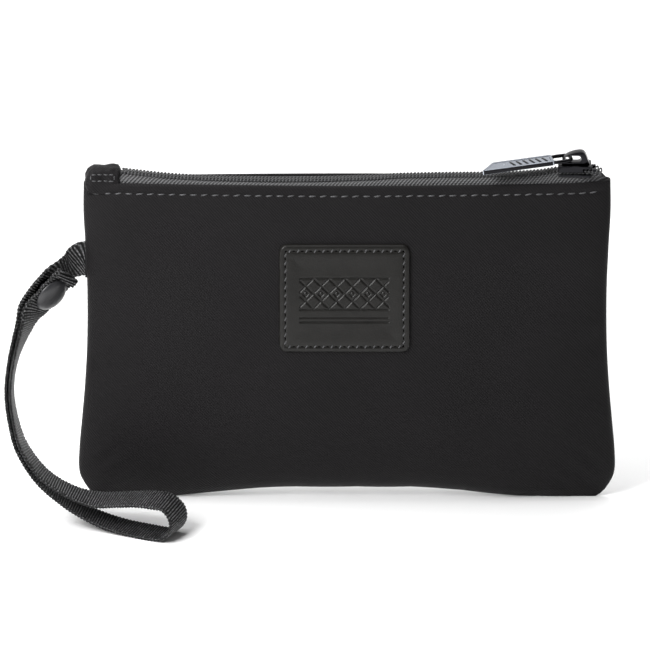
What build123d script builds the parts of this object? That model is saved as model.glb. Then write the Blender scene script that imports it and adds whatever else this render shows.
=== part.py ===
"""Zippered fabric pouch with a webbing wrist strap that a press stud closes.

The pouch stands on its bottom seam with its front, which carries the leather patch, facing -Y.
X runs along the zipper, Z is up, and the origin is on the floor under the middle of the pouch.
All sizes are in millimetres. The shell is two sewn halves; the front half swings out about the
bottom edge as the slider runs from the right end to the left.
"""

import math
import os

from build123d import *

os.makedirs("parts", exist_ok=True)

# ---------------------------------------------------------------- driving dimensions

TOP = 135.0  # height of the folded top edge of the shell
PARTING = 0.3  # gap between the front and the back half
SHELL = 1.0  # shell cloth with its backing
LINING = 0.5
CLOTH_GAP = 0.15  # between the shell and the lining
LINING_TOP = TOP - 9
STRAP_SLIT_LONG = 24.0  # the gap in the side seam that the webbing passes through
STRAP_SLIT_ROOM = (0.3, 0.8)
SECTION_STEP = 12  # degrees between the points of a section's outline
BEYOND = 60.0  # longer than anything that is cut away

# The stuffed shape: height, half width, depth of one half, and how square the section is.
PILLOW = [
    (0, 94.0, 4.5, 2.4),
    (6, 103.0, 8.2, 2.4),
    (20, 107.6, 10.6, 2.4),
    (48, 106.0, 12.0, 2.4),
    (88, 104.0, 11.0, 2.8),
    (118, 104.4, 8.2, 4.0),
    (TOP, 105.0, 6.3, 6.0),
]

# Thread: one stitch, and how far it stands off the cloth that it is sewn into.
STITCH_LONG = 2.4
STITCH_HIGH = 0.6
STITCH_PITCH = 4.3
STITCH_GAP = 0.05
STITCH_THICK = 0.35
TOPSTITCH_Z = TOP - 4.4
TOPSTITCH_SPAN = 198.0

# Zipper: height of the tape's flat edge, and the coil that is sewn on top of it.
TAPE_Z = 138.4
TAPE_THICK = 0.4
TAPE_WIDE = 4.8
TAPE_END = 99.0
TAPE_LEG = 12.0  # how far the tape goes down behind the folded edge
TAPE_LEG_END = 86.0
COIL_HIGH = 1.6
COIL_HALF = 3.0
COIL_LEFT = -87.4
COIL_TO_SLIDER = 1.0  # the coil ends this far inside the slider
STOP_LONG = 1.8
TOP_STOP_WIDE = 1.8
TOP_STOP_HIGH = 1.5
TOP_STOP_APART = 5.2
TOP_STOP_GAP = 0.1
TOP_STOP_EDGE = 0.4
BOTTOM_STOP_WIDE = 5.0
BOTTOM_STOP_HIGH = 1.6
BOTTOM_STOP_GAP = 0.2
BOTTOM_STOP_EDGE = 0.5

# Slider: its middle at rest, its plates, and the arch that holds the pull.
SLIDER_X = 90.6
SLIDER_LONG = 13.2
SLIDER_WIDE = 8.8
SLIDER_TAIL = 7.6
SLIDER_GAP = 0.3
PLATE = 1.0
PLATE_CORNER = 0.9
SHOULDER_LONG = 3.0  # the full width of the plates, at the open end
RAIL = 0.7
RAIL_BACK = 1.6  # from the middle of the slider to the middle of the rails
POST_AHEAD = 3.0
POST_LONG = 2.8
POST_WIDE = 1.8
POST_CLEAR = 0.5  # room between the post and each tape
ARCH_WIDE = 4.0
ARCH_HIGH = 5.3
ARCH_FOOT_LEFT = -5.2
ARCH_FOOT_RIGHT = 6.0
ARCH_SHOULDER = (-3.4, 3.6)
ARCH_PEAK = 2.4
ARCH_RISE_TANGENT = (0, 1)
ARCH_FALL_TANGENT = (0.35, -1)
ARCH_HOLE_AT = (-0.6, 2.4)
ARCH_HOLE_LONG = 6.4
ARCH_HOLE_HIGH = 2.8
SPRING_AT = 2.2
SPRING_LONG = 3.0
SPRING_WIDE = 1.8
SPRING_THICK = 0.3
SPRING_ROOM = 0.4
SPRING_POCKET_HIGH = 0.9
COIL_RIGHT = SLIDER_X - COIL_TO_SLIDER

# Pull tab.
PULL_YAW = 10.0  # it lies askew, its free end towards the front
PULL_PITCH = 3.0
PULL_PLATE_LONG = 27.4
PULL_WIDE = 8.6
PULL_THICK = 1.8
PULL_CORNER = 1.0
PULL_NECK = 6.6  # from the pivot to the plate
PULL_ARM = 1.3
PULL_EYE = 6.0
PULL_PIN_R = 0.8
PULL_EYE_SET_BACK = 0.8
PULL_WELD = 0.2  # how far the pin and the arms run into each other
PULL_BACK = 2.1  # the pivot, from the middle of the slider and from the top plate
PULL_UP = 2.4

# Leather patch on the front.
PATCH_WIDE = 51.0
PATCH_HIGH = 44.6
PATCH_THICK = 1.6
PATCH_GAP = 0.1
PATCH_Z = 87.6
PATCH_CORNER = 3.4
PATCH_STITCH_IN = 2.8
PATCH_STITCH_PITCH = 3.5
PATCH_STITCH_GAP = 0.25

# End tab, folded over the start of the zipper.
TAB_LEFT = -105.2
TAB_RIGHT = -90.4
TAB_WIDE = 9.4
TAB_LAYER = 1.1
TAB_TOP_LAYER = 2.6
TAB_EDGE = 0.5

# Wrist strap webbing.
WEB_WIDE = 15.0
WEB_THICK = 1.3
STRAP_Z = 100.9  # middle of the webbing where it leaves the side seam
STRAP_PIVOT_X = -105.6
ANCHOR_LEFT = -104.6
ANCHOR_RIGHT = -96.0

# The snap stands on the webbing here, squared up to these directions.
SNAP_AT = Vector(-121.1, -4.5, 90.7)
SNAP_OUT = Vector(0.608, -0.689, -0.395).normalized()
SNAP_UP = Vector(0.671, 0.173, 0.721).normalized()
SNAP_STACK = 4.2  # from the middle of the lower webbing to the middle of the upper one
SNAP_CAP_R = 7.3
SNAP_DOME = 2.8
SNAP_CAP_ROUND = 0.8  # share of the dome that its rounded edge takes
SNAP_DISC_R = 5.4
SNAP_DISC_THICK = 0.5
SNAP_POST_THICK = 1.0
SNAP_SOCKET_THICK = 1.7
SNAP_KNOB_R = 1.9
SNAP_KNOB_HIGH = 2.2
SNAP_KNOB_EDGE = 0.3
SNAP_FIT = 0.2
FLAP_BELOW = 9.5  # from the snap down to the peel line
FLAP_ABOVE = 10.5
SNAP_ABOVE = 6.0  # how far the webbing stays flat above the snap
FLAP_JOINT_GAP = 0.9
FLAP_FOLD_LONG = 3.0
TURN_STEP = 30  # degrees between stations round the far end of the loop

# The lower run of the strap, from the side seam to the far end of the loop: the middle of the
# webbing, the direction of its width, and the distance up to the middle of the returning run.
STRAP_RUN = [
    (-105.7, 0.0, 100.9, 0.0, 0.0, -1.0, 0.0),
    (-110.3, -0.5, 98.6, 0.25, 0.5, -0.83, 0.0),
    (-114.4, -2.8, 96.6, 0.40, 0.68, -0.61, 0.0),
    (-117.1, -3.5, 95.0, 0.42, 0.70, -0.57, 0.0),
    (-127.1, -6.1, 84.2, 0.42, 0.70, -0.57, 4.2),
    (-130.4, -8.2, 76.4, 0.30, 0.90, -0.30, 3.2),
    (-135.1, -11.6, 62.4, 0.12, 0.98, -0.10, 2.2),
    (-136.0, -15.0, 49.4, 0.05, 1.0, 0.0, 1.8),
    (-133.8, -20.0, 34.6, 0.05, 1.0, 0.0, 1.8),
    (-129.6, -25.0, 25.2, 0.06, 1.0, 0.0, 1.8),
    (-122.0, -29.5, 14.9, 0.08, 1.0, 0.0, 2.4),
    (-112.0, -33.0, 6.9, 0.10, 0.99, 0.0, 4.6),
    (-101.9, -36.0, 2.9, 0.12, 0.99, 0.0, 7.2),
    (-91.6, -40.0, 1.1, 0.20, 0.98, 0.0, 11.0),
    (-78.6, -46.4, 0.75, 0.30, 0.95, 0.0, 13.8),
    (-70.4, -49.8, 0.75, 0.33, 0.94, 0.0, 14.4),
]

TAPE_BOTTOM = TAPE_Z - TAPE_THICK / 2
TAPE_TOP = TAPE_Z + TAPE_THICK / 2
COIL_TOP = TAPE_TOP + COIL_HIGH
TOP_PLATE_Z = COIL_TOP + SLIDER_GAP
ARCH_Z = TOP_PLATE_Z + PLATE
PIVOT = Vector(SLIDER_X - PULL_BACK, 0, ARCH_Z + PULL_UP)
SNAP_PLANE = Plane(origin=SNAP_AT, x_dir=SNAP_UP, z_dir=SNAP_OUT)


# ---------------------------------------------------------------- shared shapes


def half_pillow(side, grow, z_low, z_high, reach=0.0):
    """One half of the stuffed shape, grown by `grow` all round; side is -1 in front, +1 behind."""
    with BuildPart() as half:
        for index, (z, wide, deep, square) in enumerate(PILLOW):
            level = z_low if index == 0 else z
            level = z_high if index == len(PILLOW) - 1 else level
            w = wide + grow
            d = deep + grow
            turns = [math.radians(180 + turn) for turn in range(0, 181, SECTION_STEP)]
            curve = []
            for turn in turns:
                c = math.cos(turn)
                s = abs(math.sin(turn))
                x = math.copysign(w * abs(c) ** (2 / square), c)
                curve.append((x, side * (PARTING / 2 + d * s ** (2 / square))))
            curve[0] = (-w, side * PARTING / 2)
            curve[-1] = (w, side * PARTING / 2)
            back = side * (PARTING / 2 - reach)
            with BuildSketch(Plane.XY.offset(level)):
                with BuildLine():
                    Spline(*curve)
                    if reach:
                        Polyline(curve[-1], (w, back), (-w, back), curve[0])
                    else:
                        Line(curve[-1], curve[0])
                make_face()
        loft()
    return half.part


def cloth_half(side, skin, thick, top):
    """A sewn half shell of cloth: `skin` inside the stuffed shape and `thick` thick, open on top."""
    with BuildPart() as cloth:
        add(half_pillow(side, -skin, skin, TOP + 1))
        add(half_pillow(side, -skin - thick, skin + thick, TOP + 2, reach=2), mode=Mode.SUBTRACT)
        with Locations((0, 0, top)):
            bottom_up = (Align.CENTER, Align.CENTER, Align.MIN)
            Box(5 * BEYOND, BEYOND, BEYOND, align=bottom_up, mode=Mode.SUBTRACT)
        with Locations((STRAP_PIVOT_X, 0, STRAP_Z)):
            slit_thick = WEB_THICK + STRAP_SLIT_ROOM[0]
            slit_wide = WEB_WIDE + STRAP_SLIT_ROOM[1]
            Box(STRAP_SLIT_LONG, slit_thick, slit_wide, mode=Mode.SUBTRACT)
    return cloth.part


def skin_patch(side, low, thick, outline):
    """What a flat outline, seen from that side, cuts from a skin `low` off the shell."""
    high = low + thick
    with BuildPart() as outlined:
        extrude(outline, amount=BEYOND, dir=(0, side, 0))
    with BuildPart() as piece:
        add(half_pillow(side, high, -high, TOP + 1))
        add(half_pillow(side, low, -low, TOP + 2, reach=2), mode=Mode.SUBTRACT)
        add(outlined.part, mode=Mode.INTERSECT)
    return piece.part


def seen_from(side):
    """The plane through the middle of the shell that faces that side: -1 in front, +1 behind."""
    return Plane(origin=(0, 0, 0), x_dir=(-side, 0, 0), z_dir=(0, side, 0))


def ribbon(stations, wide, thick):
    """Webbing through stations that each give a middle, a direction along it and one across it."""
    with BuildPart() as run:
        for middle, along, across in stations:
            with BuildSketch(Plane(origin=middle, x_dir=across, z_dir=along)):
                Rectangle(wide, thick)
        loft(ruled=True)
    return run.part


def save(part, name):
    part.label = name
    export_step(part, f"parts/{name}.step")


# ---------------------------------------------------------------- shell and lining

for half_name, half_side in (("front", -1), ("back", 1)):
    save(cloth_half(half_side, 0, SHELL, TOP), f"{half_name}_panel")
    save(cloth_half(half_side, SHELL + CLOTH_GAP, LINING, LINING_TOP), f"{half_name}_lining")

    # The row of stitches that holds the folded edge down on the zipper tape.
    stitch_count = int(TOPSTITCH_SPAN / STITCH_PITCH)
    with BuildSketch(seen_from(half_side)) as stitch_row:
        with Locations((0, TOPSTITCH_Z)):
            with GridLocations(STITCH_PITCH, 1, stitch_count, 1):
                Rectangle(STITCH_LONG, STITCH_HIGH)
    topstitching = skin_patch(half_side, STITCH_GAP, STITCH_THICK, stitch_row.sketch)
    save(topstitching, f"{half_name}_topstitching")


# ---------------------------------------------------------------- leather patch

with BuildSketch(seen_from(-1)) as patch_outline:
    with Locations((0, PATCH_Z)):
        RectangleRounded(PATCH_WIDE, PATCH_HIGH, PATCH_CORNER)
save(skin_patch(-1, PATCH_GAP, PATCH_THICK, patch_outline.sketch), "label_patch")

sewn_wide = PATCH_WIDE - 2 * PATCH_STITCH_IN
sewn_high = PATCH_HIGH - 2 * PATCH_STITCH_IN
across_count = int(sewn_wide / PATCH_STITCH_PITCH)
down_count = int(sewn_high / PATCH_STITCH_PITCH)
with BuildSketch(seen_from(-1)) as patch_stitches:
    with Locations((0, PATCH_Z)):
        with GridLocations(sewn_wide / across_count, sewn_high, across_count, 2):
            Rectangle(STITCH_LONG, STITCH_HIGH)
        with GridLocations(sewn_wide, sewn_high / down_count, 2, down_count):
            Rectangle(STITCH_HIGH, STITCH_LONG)
patch_thread = skin_patch(-1, PATCH_GAP, STITCH_THICK, patch_stitches.sketch)
save(patch_thread.moved(Location((0, -PATCH_THICK - PATCH_STITCH_GAP, 0))), "label_stitching")


# ---------------------------------------------------------------- zipper

for half_name, half_side in (("front", -1), ("back", 1)):
    inner_y = half_side * PARTING / 2
    outer_y = half_side * TAPE_WIDE
    with BuildPart() as zipper_tape:
        with BuildSketch(Plane.XY.offset(TAPE_BOTTOM)):
            with BuildLine():
                Polyline(
                    (-TAPE_END, inner_y),
                    (TAPE_END, inner_y),
                    (TAPE_END, outer_y),
                    (-TAPE_END, outer_y),
                    close=True,
                )
            make_face()
            with Locations((TAPE_END, 0)):
                notch_long = TAPE_END - COIL_RIGHT - 2 * COIL_TO_SLIDER
                Rectangle(2 * notch_long, POST_WIDE + 2 * POST_CLEAR, mode=Mode.SUBTRACT)
        extrude(amount=TAPE_THICK)
        with BuildSketch(Plane.XY.offset(TAPE_BOTTOM)):
            with Locations((0, outer_y - half_side * TAPE_THICK / 2)):
                Rectangle(2 * TAPE_LEG_END, TAPE_THICK)
        extrude(amount=-TAPE_LEG)
    save(zipper_tape.part, f"{half_name}_zipper_tape")

    with BuildPart() as zipper_coil:
        with BuildSketch(Plane.YZ.offset(COIL_LEFT)):
            with BuildLine():
                outer_foot = (half_side * COIL_HALF, TAPE_TOP)
                outer_crest = (half_side * (COIL_HALF - COIL_HIGH), COIL_TOP)
                Line((inner_y, TAPE_TOP), outer_foot)
                RadiusArc(outer_foot, outer_crest, -half_side * COIL_HIGH)
                Polyline(outer_crest, (inner_y, COIL_TOP), (inner_y, TAPE_TOP))
            make_face()
        extrude(amount=COIL_RIGHT - COIL_LEFT)
    save(zipper_coil.part, f"{half_name}_zipper_coil")

# Stops at the closed end, one on each tape, and the staple across both tapes at the other end.
with BuildPart() as top_stops:
    with Locations((SLIDER_X + (SLIDER_LONG + STOP_LONG) / 2 + TOP_STOP_GAP, 0, TAPE_TOP)):
        with GridLocations(1, TOP_STOP_APART, 1, 2):
            Box(STOP_LONG, TOP_STOP_WIDE, TOP_STOP_HIGH, align=(Align.CENTER, Align.CENTER, Align.MIN))
    fillet(top_stops.edges().group_by(Axis.Z)[-1], TOP_STOP_EDGE)
save(top_stops.part, "top_stops")

with BuildPart() as bottom_stop:
    with Locations((COIL_LEFT - BOTTOM_STOP_GAP - STOP_LONG / 2, 0, TAPE_TOP)):
        Box(STOP_LONG, BOTTOM_STOP_WIDE, BOTTOM_STOP_HIGH, align=(Align.CENTER, Align.CENTER, Align.MIN))
    fillet(bottom_stop.edges().group_by(Axis.Z)[-1], BOTTOM_STOP_EDGE)
save(bottom_stop.part, "bottom_stop")

# The tab is one strip of shell cloth, folded round the ends of both tapes.
with BuildPart() as end_tab:
    with BuildSketch(Plane.XZ.offset(-TAB_WIDE / 2)):
        with BuildLine():
            Polyline(
                (TAB_RIGHT, TAPE_TOP),
                (TAB_RIGHT, TAPE_TOP + TAB_TOP_LAYER),
                (TAB_LEFT, TAPE_TOP + TAB_TOP_LAYER),
                (TAB_LEFT, TAPE_BOTTOM - TAB_LAYER),
                (TAB_RIGHT, TAPE_BOTTOM - TAB_LAYER),
                (TAB_RIGHT, TAPE_BOTTOM),
                (TAB_LEFT + TAB_LAYER, TAPE_BOTTOM),
                (TAB_LEFT + TAB_LAYER, TAPE_TOP),
                close=True,
            )
        make_face()
    extrude(amount=TAB_WIDE)
    fillet(end_tab.edges().filter_by(Axis.Y).group_by(Axis.X)[0], TAB_EDGE)
save(end_tab.part, "zipper_end_tab")


# ---------------------------------------------------------------- slider

with BuildPart() as slider_body:
    half_long = SLIDER_LONG / 2
    for plate_z in (TAPE_BOTTOM - SLIDER_GAP - PLATE, TOP_PLATE_Z):
        with BuildSketch(Plane.XY.offset(plate_z)) as plate_outline:
            with BuildLine():
                Polyline(
                    (SLIDER_X - half_long, -SLIDER_TAIL / 2),
                    (SLIDER_X, -SLIDER_TAIL / 2),
                    (SLIDER_X + half_long - SHOULDER_LONG, -SLIDER_WIDE / 2),
                    (SLIDER_X + half_long, -SLIDER_WIDE / 2),
                    (SLIDER_X + half_long, SLIDER_WIDE / 2),
                    (SLIDER_X + half_long - SHOULDER_LONG, SLIDER_WIDE / 2),
                    (SLIDER_X, SLIDER_TAIL / 2),
                    (SLIDER_X - half_long, SLIDER_TAIL / 2),
                    close=True,
                )
            make_face()
            fillet(plate_outline.vertices(), PLATE_CORNER)
        extrude(amount=PLATE)
    # Rails at the edges of the top plate keep the coil in.
    rail_high = TOP_PLATE_Z - TAPE_TOP - SLIDER_GAP
    with Locations((SLIDER_X - RAIL_BACK, 0, TAPE_TOP + SLIDER_GAP)):
        with GridLocations(1, SLIDER_TAIL - RAIL, 1, 2):
            Box(half_long + SHOULDER_LONG, RAIL, rail_high, align=(Align.CENTER, Align.CENTER, Align.MIN))
    # The post between the plates parts the two rows of coil.
    post_high = TOP_PLATE_Z - TAPE_BOTTOM + SLIDER_GAP
    with Locations((SLIDER_X + POST_AHEAD, 0, TAPE_BOTTOM - SLIDER_GAP)):
        Box(POST_LONG, POST_WIDE, post_high, align=(Align.CENTER, Align.CENTER, Align.MIN))
save(slider_body.part, "slider_body")

with BuildPart() as slider_crown:
    with BuildSketch(Plane.XZ.offset(-ARCH_WIDE / 2)) as arch:
        with BuildLine():
            foot_left = (SLIDER_X + ARCH_FOOT_LEFT, ARCH_Z)
            shoulder = (SLIDER_X + ARCH_SHOULDER[0], ARCH_Z + ARCH_SHOULDER[1])
            peak = (SLIDER_X + ARCH_PEAK, ARCH_Z + ARCH_HIGH)
            foot_right = (SLIDER_X + ARCH_FOOT_RIGHT, ARCH_Z)
            Spline(foot_left, shoulder, peak, foot_right, tangents=(ARCH_RISE_TANGENT, ARCH_FALL_TANGENT))
            Line(foot_right, foot_left)
        make_face()
        with Locations((SLIDER_X + ARCH_HOLE_AT[0], ARCH_Z + ARCH_HOLE_AT[1])):
            SlotOverall(ARCH_HOLE_LONG, ARCH_HOLE_HIGH, mode=Mode.SUBTRACT)
    extrude(amount=ARCH_WIDE)
    # A pocket in the heel of the arch holds the lock spring.
    with Locations((SLIDER_X + SPRING_AT, 0, ARCH_Z)):
        pocket_long = SPRING_LONG + SPRING_ROOM
        pocket_wide = SPRING_WIDE + SPRING_ROOM
        bottom_up = (Align.CENTER, Align.CENTER, Align.MIN)
        Box(pocket_long, pocket_wide, SPRING_POCKET_HIGH, align=bottom_up, mode=Mode.SUBTRACT)
save(slider_crown.part, "slider_crown")

with BuildPart() as lock_spring:
    with Locations((SLIDER_X + SPRING_AT, 0, ARCH_Z)):
        Box(SPRING_LONG, SPRING_WIDE, SPRING_THICK, align=(Align.CENTER, Align.CENTER, Align.MIN))
save(lock_spring.part, "slider_lock_spring")


# ---------------------------------------------------------------- pull tab

pull_heading = Vector(-1, 0, -math.tan(math.radians(PULL_PITCH))).rotate(Axis.Z, PULL_YAW)
pull_across = Vector(0, 1, 0).rotate(Axis.Z, PULL_YAW)
pull_plane = Plane(origin=PIVOT, x_dir=pull_heading, z_dir=pull_heading.cross(pull_across) * -1)
with BuildPart() as pull_tab:
    with BuildSketch(pull_plane.offset(-PULL_THICK / 2)) as pull_outline:
        with Locations((PULL_NECK + PULL_PLATE_LONG / 2, 0)):
            RectangleRounded(PULL_PLATE_LONG, PULL_WIDE, PULL_CORNER)
        with Locations((PULL_NECK / 2, 0)):
            Rectangle(PULL_NECK + 2 * PULL_WELD, 2 * (PULL_EYE / 2 + PULL_ARM))
        # The arch passes through this eye.
        with Locations((PULL_NECK / 2 - PULL_EYE_SET_BACK, 0)):
            Rectangle(PULL_NECK, PULL_EYE, mode=Mode.SUBTRACT)
    extrude(amount=PULL_THICK)
    pin_plane = Plane(origin=PIVOT, x_dir=pull_heading, z_dir=pull_across)
    with BuildSketch(pin_plane.offset(-PULL_EYE / 2 - PULL_WELD)):
        Circle(PULL_PIN_R)
    extrude(amount=PULL_EYE + 2 * PULL_WELD)
save(pull_tab.part, "pull_tab")


# ---------------------------------------------------------------- wrist strap

with BuildPart() as strap_anchor:
    with Locations(((ANCHOR_LEFT + ANCHOR_RIGHT) / 2, 0, STRAP_Z)):
        Box(ANCHOR_RIGHT - ANCHOR_LEFT, WEB_THICK, WEB_WIDE)
save(strap_anchor.part, "strap_anchor")

run_middles = [Vector(*row[:3]) for row in STRAP_RUN]
run_stations = []
for index, row in enumerate(STRAP_RUN):
    behind = run_middles[max(index - 1, 0)]
    ahead = run_middles[min(index + 1, len(run_middles) - 1)]
    along = (ahead - behind).normalized()
    across = Vector(*row[3:6])
    across = (across - along * along.dot(across)).normalized()
    run_stations.append((run_middles[index], along, across))
run_stations[0] = (run_middles[0], Vector(-1, 0, 0), Vector(0, 0, -1))
# Under the snap the webbing is flat.
for index, above in ((3, SNAP_ABOVE), (4, -FLAP_BELOW)):
    run_stations[index] = (SNAP_AT + SNAP_PLANE.x_dir * above, SNAP_PLANE.x_dir * -1, SNAP_PLANE.y_dir * -1)

# The far end turns back over itself in half a circle; the return run then follows the lower run.
last_middle, last_along, last_across = run_stations[-1]
last_up = last_across.cross(last_along) * -1
turn_radius = STRAP_RUN[-1][6] / 2
turn_stations = []
for degrees in range(TURN_STEP, 180, TURN_STEP):
    lift = last_up * turn_radius * (1 - math.cos(math.radians(degrees)))
    reach = last_along * turn_radius * math.sin(math.radians(degrees))
    heading = last_along * math.cos(math.radians(degrees)) + last_up * math.sin(math.radians(degrees))
    turn_stations.append((last_middle + lift + reach, heading, last_across))
back_stations = []
for row, (middle, along, across) in reversed(list(zip(STRAP_RUN, run_stations))):
    if row[6]:
        back_stations.append((middle + across.cross(along) * -row[6], along * -1, across))
flap_joint = SNAP_AT - SNAP_PLANE.x_dir * FLAP_BELOW + SNAP_PLANE.z_dir * SNAP_STACK
back_end = flap_joint - SNAP_PLANE.x_dir * FLAP_JOINT_GAP
back_stations[-1] = (back_end, SNAP_PLANE.x_dir, SNAP_PLANE.y_dir * -1)
strap_stations = run_stations + turn_stations + back_stations
save(ribbon(strap_stations, WEB_WIDE, WEB_THICK), "strap_webbing")
strap_length = sum((b[0] - a[0]).length for a, b in zip(strap_stations, strap_stations[1:]))
print("strap length", round(strap_length, 1), "turn radius", turn_radius)

# The flap is the strap's free end, turned under at its tip and carried by the snap.
with BuildPart() as strap_flap:
    with BuildSketch(SNAP_PLANE.offset(SNAP_STACK - WEB_THICK / 2)):
        with Locations(((FLAP_ABOVE - FLAP_BELOW) / 2, 0)):
            Rectangle(FLAP_ABOVE + FLAP_BELOW, WEB_WIDE)
    extrude(amount=WEB_THICK)
    with BuildSketch(SNAP_PLANE.offset(SNAP_STACK + WEB_THICK / 2)):
        with Locations((FLAP_ABOVE - FLAP_FOLD_LONG / 2, 0)):
            Rectangle(FLAP_FOLD_LONG, WEB_WIDE)
    extrude(amount=WEB_THICK)
save(strap_flap.part, "strap_flap")


# ---------------------------------------------------------------- snap fastener

lower_face = WEB_THICK / 2 + STITCH_GAP
flap_inner = SNAP_STACK - WEB_THICK / 2 - STITCH_GAP
flap_outer = SNAP_STACK + WEB_THICK / 2 + STITCH_GAP

with BuildPart() as snap_stud:
    with BuildSketch(SNAP_PLANE.offset(lower_face)):
        Circle(SNAP_DISC_R)
    extrude(amount=SNAP_DISC_THICK)
    with BuildSketch(SNAP_PLANE.offset(lower_face)):
        Circle(SNAP_KNOB_R)
    extrude(amount=SNAP_KNOB_HIGH)
    knob_rims = snap_stud.edges().filter_by(GeomType.CIRCLE).sort_by(lambda edge: edge.radius)
    fillet(knob_rims[0], SNAP_KNOB_EDGE)
save(snap_stud.part, "snap_stud")

with BuildPart() as snap_post:
    with BuildSketch(SNAP_PLANE.offset(-lower_face)):
        Circle(SNAP_DISC_R)
    extrude(amount=-SNAP_POST_THICK)
save(snap_post.part, "snap_post")

with BuildPart() as snap_socket:
    with BuildSketch(SNAP_PLANE.offset(flap_inner)):
        Circle(SNAP_DISC_R)
        Circle(SNAP_KNOB_R + SNAP_FIT, mode=Mode.SUBTRACT)
    extrude(amount=-SNAP_SOCKET_THICK)
save(snap_socket.part, "snap_socket")

with BuildPart() as snap_cap:
    with BuildSketch(SNAP_PLANE.offset(flap_outer)):
        Circle(SNAP_CAP_R)
    extrude(amount=SNAP_DOME)
    cap_top = snap_cap.faces().sort_by(Axis(SNAP_AT, SNAP_PLANE.z_dir))[-1]
    fillet(cap_top.edges(), SNAP_DOME * SNAP_CAP_ROUND)
save(snap_cap.part, "snap_cap")
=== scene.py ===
import math
import bmesh
import bpy
import numpy as np
from mathutils import Matrix, Vector, noise
from mathutils.bvhtree import BVHTree


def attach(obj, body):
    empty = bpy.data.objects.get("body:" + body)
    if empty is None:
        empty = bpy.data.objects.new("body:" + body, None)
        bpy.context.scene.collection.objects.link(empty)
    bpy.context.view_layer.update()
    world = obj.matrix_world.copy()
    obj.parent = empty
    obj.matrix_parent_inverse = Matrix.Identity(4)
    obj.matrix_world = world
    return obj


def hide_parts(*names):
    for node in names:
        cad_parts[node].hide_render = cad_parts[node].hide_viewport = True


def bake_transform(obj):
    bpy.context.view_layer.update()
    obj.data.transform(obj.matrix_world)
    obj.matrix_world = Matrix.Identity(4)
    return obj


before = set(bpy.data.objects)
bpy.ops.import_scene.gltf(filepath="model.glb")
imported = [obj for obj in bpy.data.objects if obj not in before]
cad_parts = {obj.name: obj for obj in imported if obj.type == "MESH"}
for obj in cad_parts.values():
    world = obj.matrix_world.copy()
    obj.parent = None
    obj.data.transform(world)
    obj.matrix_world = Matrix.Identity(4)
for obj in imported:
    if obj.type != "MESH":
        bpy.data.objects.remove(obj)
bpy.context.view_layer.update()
MM = 0.001


# ---------------------------------------------------------------- camera, floor and light
# The pouch stands on a plain white sweep, seen square on from a little above through a long lens.
# A big soft box hangs over the left front, a weaker one fills from the right.

CAMERA_LOWER = math.radians(20)
CAMERA_DISTANCE = 5.0
CAMERA_SEES = 0.260
SENSOR = 36
LOOK_AT = Vector((-0.0088, 0, 0.0730))

camera_data = bpy.data.cameras.new("camera")
camera_data.sensor_width = SENSOR
camera_data.lens = SENSOR * CAMERA_DISTANCE / CAMERA_SEES
camera = bpy.data.objects.new("camera", camera_data)
camera.location = LOOK_AT + CAMERA_DISTANCE * Vector((0, -math.cos(CAMERA_LOWER), math.sin(CAMERA_LOWER)))
camera.rotation_euler = (math.radians(90) - CAMERA_LOWER, 0, 0)
bpy.context.collection.objects.link(camera)
bpy.context.scene.camera = camera
bpy.context.scene.view_settings.view_transform = "Standard"


def new_node(tree, kind, values=None, **settings):
    """A shader node with its settings made and plain values on its sockets."""
    made = tree.nodes.new("ShaderNode" + kind)
    for name, value in settings.items():
        setattr(made, name, value)
    for socket, value in (values or {}).items():
        made.inputs[socket].default_value = value
    return made


# The room is bright behind and overhead and dim in front, below the soft boxes.
world = bpy.data.worlds.new("studio")
world.use_nodes = True
room = world.node_tree
facing = new_node(room, "TexCoord")
split_axes = new_node(room, "SeparateXYZ")
behind = new_node(room, "MapRange", {"From Min": -0.6, "From Max": 0.7, "To Min": 0.03, "To Max": 0.75})
room.links.new(facing.outputs["Generated"], split_axes.inputs["Vector"])
room.links.new(split_axes.outputs["Y"], behind.inputs["Value"])
room.links.new(behind.outputs["Result"], room.nodes["Background"].inputs["Strength"])
room.nodes["Background"].inputs["Color"].default_value = (1, 1, 1, 1)
bpy.context.scene.world = world


def soft_box(name, place, aim, wide, high, watts):
    light = bpy.data.lights.new(name, "AREA")
    light.shape = "RECTANGLE"
    light.size = wide
    light.size_y = high
    light.energy = watts
    lamp = bpy.data.objects.new(name, light)
    lamp.location = place
    lamp.rotation_euler = (Vector(aim) - Vector(place)).to_track_quat("-Z", "Y").to_euler()
    bpy.context.collection.objects.link(lamp)


soft_box("overhead_light", (-0.45, 0.25, 1.5), (-0.05, 0, 0), 2.2, 1.6, 31)
soft_box("key_light", (-0.42, -0.45, 0.50), (-0.06, 0, 0.09), 0.35, 0.35, 6.5)
soft_box("fill_light", (0.70, -0.60, 0.35), (0, 0, 0.07), 0.3, 0.3, 0.25)

floor_mesh = bmesh.new()
bmesh.ops.create_grid(floor_mesh, x_segments=2, y_segments=2, size=4)
floor_data = bpy.data.meshes.new("floor")
floor_mesh.to_mesh(floor_data)
floor_mesh.free()
floor = bpy.data.objects.new("floor", floor_data)
bpy.context.collection.objects.link(floor)


def finish(name, color, roughness, **sockets):
    """A new material with its plain values on the shader's own sockets; returns it and its node tree."""
    material = bpy.data.materials.new(name)
    material.use_nodes = True
    shader = material.node_tree.nodes["Principled BSDF"]
    shader.inputs["Base Color"].default_value = (*color, 1)
    shader.inputs["Roughness"].default_value = roughness
    for socket, value in sockets.items():
        shader.inputs[socket.replace("_", " ")].default_value = value
    return material, material.node_tree, shader


def places_on(tree, kind):
    """The piece's own coordinates: Object or UV."""
    return new_node(tree, "TexCoord").outputs[kind]


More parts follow.
